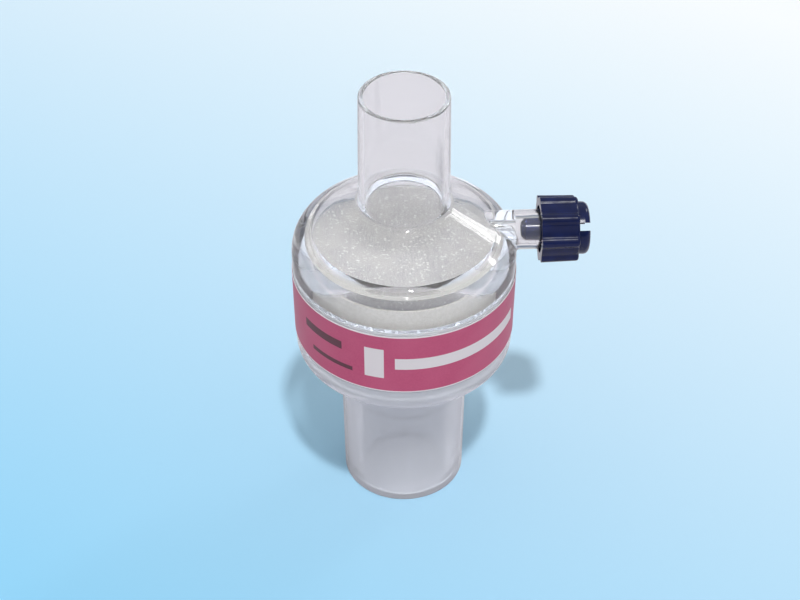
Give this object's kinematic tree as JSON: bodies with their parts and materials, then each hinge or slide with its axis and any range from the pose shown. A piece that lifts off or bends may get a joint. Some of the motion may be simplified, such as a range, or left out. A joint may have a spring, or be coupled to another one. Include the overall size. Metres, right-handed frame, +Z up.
{
  "type": "breathing circuit filter",
  "caption": "Small clear breathing circuit filter: a round body with a filter felt and a moisture roll between two airway cones, a side sampling port and its pull-off cap.",
  "frame": {"origin": "centre of the lower tube's rim, the face that the filter stands on", "axes": "+Z up the airway towards the 15 mm cone, +X along the sampling port, out of its mouth"},
  "size_m": [0.0508, 0.0388, 0.082],
  "materials": {
    "clear_upper": "clear, polished",
    "clear_lower": "clear, polished",
    "white_felt": "fine non-woven fibre",
    "white_paper": "wound corrugated paper",
    "pink_label": "satin printed film, bare",
    "navy_cap": "glossy moulded"
  },
  "bodies": {
    "body": {"upper_housing": "clear_upper", "lower_housing": "clear_lower", "filter_felt": "white_felt", "moisture_roll": "white_paper", "label_band": "pink_label"},
    "cap": {"luer_cap": "navy_cap"}
  },
  "joints": [
    {"name": "cap_pull", "type": "slide", "parent": "body", "child": "cap", "axis": [1, 0, 0], "range_m": [0, 0.015]}
  ]
}
